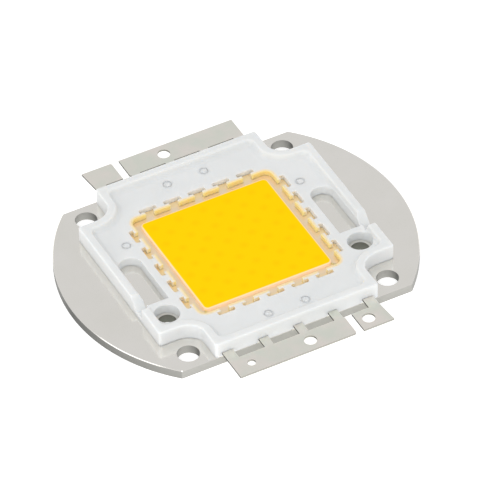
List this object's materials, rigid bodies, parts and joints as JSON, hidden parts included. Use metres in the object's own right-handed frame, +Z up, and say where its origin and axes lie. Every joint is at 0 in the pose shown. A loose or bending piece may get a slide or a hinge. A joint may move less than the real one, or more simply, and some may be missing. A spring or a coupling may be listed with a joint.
{
  "type": "cob led",
  "caption": "High power LED package: round-ended metal base plate, white moulded frame, two flat slit leads with solder tabs and a square phosphor well.",
  "frame": {"origin": "middle of the plate's underside", "axes": "+Z up out of the light emitting face, +X towards a round end of the plate, +Y towards the back lead"},
  "size_m": [0.056, 0.052, 0.0041],
  "materials": {
    "nickel_plate": "satin nickel plating on copper",
    "white_moulding": "white reflective PPA moulding",
    "silver_lead": "satin silver plating on copper",
    "phosphor": "yellow phosphor in cured silicone",
    "die": "sapphire LED die",
    "bond_wire": "gold bond wire"
  },
  "bodies": {
    "root": {"base_plate": "nickel_plate", "frame": "white_moulding", "front_lead": "silver_lead", "back_lead": "silver_lead", "phosphor_fill": "phosphor", "die_string_01": "die", "die_string_02": "die", "die_string_03": "die", "die_string_04": "die", "die_string_05": "die", "die_string_06": "die", "die_string_07": "die", "die_string_08": "die", "die_string_09": "die", "die_string_10": "die", "wire_string_01": "bond_wire", "wire_string_02": "bond_wire", "wire_string_03": "bond_wire", "wire_string_04": "bond_wire", "wire_string_05": "bond_wire", "wire_string_06": "bond_wire", "wire_string_07": "bond_wire", "wire_string_08": "bond_wire", "wire_string_09": "bond_wire", "wire_string_10": "bond_wire"}
  },
  "joints": []
}
